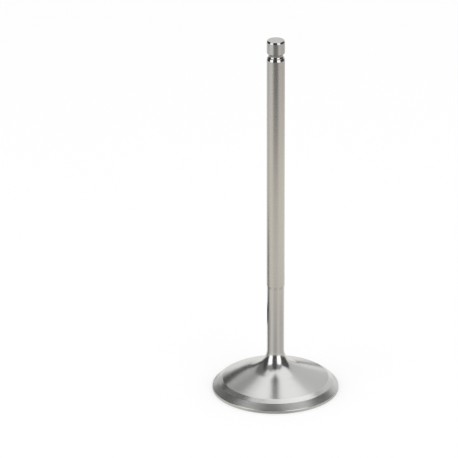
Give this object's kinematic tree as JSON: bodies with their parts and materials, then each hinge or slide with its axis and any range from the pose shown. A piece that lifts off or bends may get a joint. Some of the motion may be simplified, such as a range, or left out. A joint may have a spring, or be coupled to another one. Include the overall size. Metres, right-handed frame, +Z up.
{
  "type": "engine valve",
  "caption": "One-piece steel poppet valve with a flat round head, 45 degree seat, smooth curved neck, long slim stem and a keeper groove below the tip.",
  "frame": {"origin": "centre of the head's flat face, which the valve stands on", "axes": "+Z runs up the stem from the head to the tip and is the axis of revolution; X and Y are equivalent"},
  "size_m": [0.039, 0.039, 0.1147],
  "materials": {
    "valve_steel": "satin, ground and turned stainless steel"
  },
  "bodies": {
    "root": {"valve": "valve_steel"}
  },
  "joints": []
}
